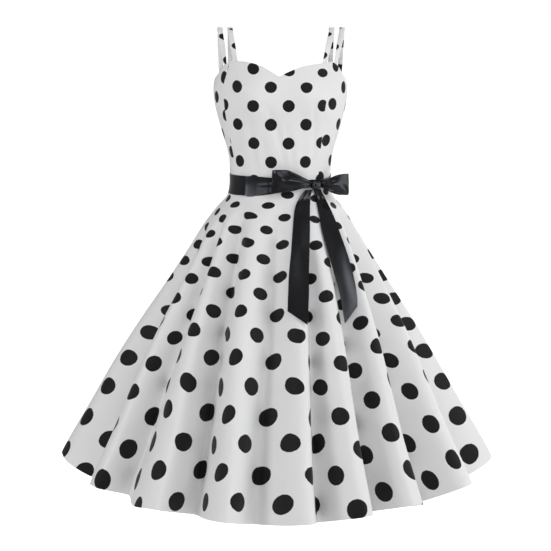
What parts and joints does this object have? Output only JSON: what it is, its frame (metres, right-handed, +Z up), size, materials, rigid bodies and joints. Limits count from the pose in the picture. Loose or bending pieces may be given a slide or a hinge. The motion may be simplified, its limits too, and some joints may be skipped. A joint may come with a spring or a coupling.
{
  "type": "a-line dress",
  "caption": "Sleeveless A-line dress with a sweetheart bodice, double straps, a full fluted skirt, a ribbon belt tied in a bow and a back zip",
  "frame": {"origin": "on the shoulder line, midway between the tops of the left and right straps; the crown of the straps' middle line is at z = 0", "axes": "+Z is up from the hem to the straps, -Y is the front of the dress, +Y its back with the zip, and +X is to the right of someone who looks at the front"},
  "size_m": [1.0575, 0.8886, 1.1],
  "materials": {
    "dress_cloth": "smooth matte woven cotton blend, white, printed all over with black dots",
    "ribbon_satin": "black satin ribbon with a soft sheen",
    "zip_tape": "matte woven tape, white",
    "zip_enamel": "white enamel on a small die-cast slider and pull tab"
  },
  "bodies": {
    "dress": {"bodice_front": "dress_cloth", "bodice_side_left": "dress_cloth", "bodice_side_right": "dress_cloth", "bodice_back_left": "dress_cloth", "bodice_back_right": "dress_cloth", "strap_left_outer": "dress_cloth", "strap_left_inner": "dress_cloth", "strap_right_inner": "dress_cloth", "strap_right_outer": "dress_cloth", "skirt_front": "dress_cloth", "skirt_side_front_left": "dress_cloth", "skirt_side_front_right": "dress_cloth", "skirt_side_back_left": "dress_cloth", "skirt_side_back_right": "dress_cloth", "skirt_back_left": "dress_cloth", "skirt_back_right": "dress_cloth", "belt_ribbon": "ribbon_satin", "bow_knot": "ribbon_satin", "bow_loop_left": "ribbon_satin", "bow_loop_right": "ribbon_satin", "bow_tail_left": "ribbon_satin", "bow_tail_right": "ribbon_satin", "zip_tape": "zip_tape", "zip_slider": "zip_enamel"},
    "zip_pull": {"zip_pull": "zip_enamel"}
  },
  "joints": [
    {"name": "pull_hinge", "type": "hinge", "parent": "dress", "child": "zip_pull", "pos_m": [0, 0.10495, -0.14], "axis": [1, 0, 0], "range_deg": [0, 170]}
  ]
}
